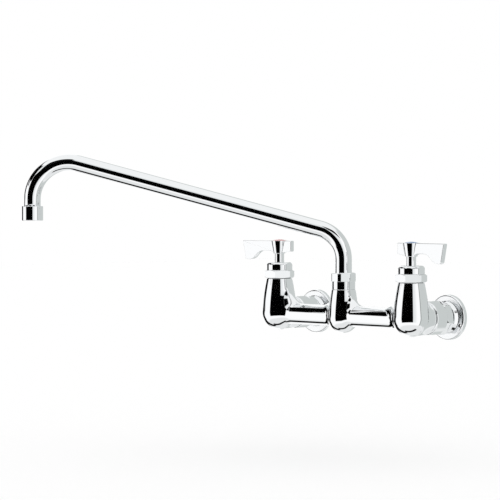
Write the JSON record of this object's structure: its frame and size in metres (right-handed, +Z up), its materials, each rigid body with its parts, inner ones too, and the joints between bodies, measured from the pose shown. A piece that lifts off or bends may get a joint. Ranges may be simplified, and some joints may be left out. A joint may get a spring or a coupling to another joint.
{
  "type": "wall-mounted sink faucet",
  "caption": "Wall-mounted sink faucet with lever handles either side of a long swinging tube spout, and a union and round flange behind each valve.",
  "frame": {"origin": "on the wall plane, midway between the hot and the cold supply inlets, at the height of their axes", "axes": "+Z up, +Y into the wall, +X towards the cold side; the user stands at -Y"},
  "size_m": [0.4313, 0.3162, 0.2097],
  "materials": {
    "chrome_casting": "polished chrome plate on cast brass",
    "chrome_nuts": "polished chrome plate on turned brass",
    "chrome_stem": "polished chrome plate on turned brass",
    "chrome_lever": "polished chrome plate",
    "chrome_flange": "polished chrome plate on turned brass",
    "chrome_tube": "polished chrome plate on drawn brass tube",
    "brass": "as turned",
    "ceramic": "lapped",
    "rubber": "matt black",
    "white_plastic": "moulded, natural white",
    "steel": "bright steel",
    "red_button": "glossy moulded red",
    "blue_button": "glossy moulded blue"
  },
  "bodies": {
    "body": {"body_casting": "chrome_casting", "hot_seat_seal": "rubber", "hot_fixed_disc": "ceramic", "hot_cartridge": "brass", "hot_cartridge_seal": "rubber", "hot_bonnet_washer": "rubber", "hot_bonnet": "chrome_nuts", "hot_packing": "rubber", "hot_dome": "chrome_nuts", "hot_tailpiece": "brass", "hot_union_nut": "chrome_nuts", "hot_inlet_washer": "rubber", "hot_wall_flange": "chrome_flange", "cold_seat_seal": "rubber", "cold_fixed_disc": "ceramic", "cold_cartridge": "brass", "cold_cartridge_seal": "rubber", "cold_bonnet_washer": "rubber", "cold_bonnet": "chrome_nuts", "cold_packing": "rubber", "cold_dome": "chrome_nuts", "cold_tailpiece": "brass", "cold_union_nut": "chrome_nuts", "cold_inlet_washer": "rubber", "cold_wall_flange": "chrome_flange", "spout_nut": "chrome_nuts", "spout_glide_ring": "white_plastic"},
    "hot_lever": {"hot_spindle": "chrome_stem", "hot_spindle_seals": "rubber", "hot_turning_disc": "ceramic", "hot_handle": "chrome_lever", "hot_handle_screw": "steel", "hot_index_button": "red_button"},
    "cold_lever": {"cold_spindle": "chrome_stem", "cold_spindle_seals": "rubber", "cold_turning_disc": "ceramic", "cold_handle": "chrome_lever", "cold_handle_screw": "steel", "cold_index_button": "blue_button"},
    "spout": {"spout_ferrule": "brass", "spout_seals": "rubber", "spout_tube": "chrome_tube", "outlet_collar": "chrome_tube", "outlet_washer": "rubber", "stream_former": "white_plastic"}
  },
  "joints": [
    {"name": "spout_swing", "type": "hinge", "parent": "body", "child": "spout", "pos_m": [0, -0.066, 0.035], "axis": [0, 0, 1], "range_deg": [-42, 138]},
    {"name": "hot_handle_turn", "type": "hinge", "parent": "body", "child": "hot_lever", "pos_m": [-0.1016, -0.066, 0.06], "axis": [0, 0, 1], "range_deg": [0, 90]},
    {"name": "cold_handle_turn", "type": "hinge", "parent": "body", "child": "cold_lever", "pos_m": [0.1016, -0.066, 0.06], "axis": [0, 0, 1], "range_deg": [-90, 0]}
  ]
}
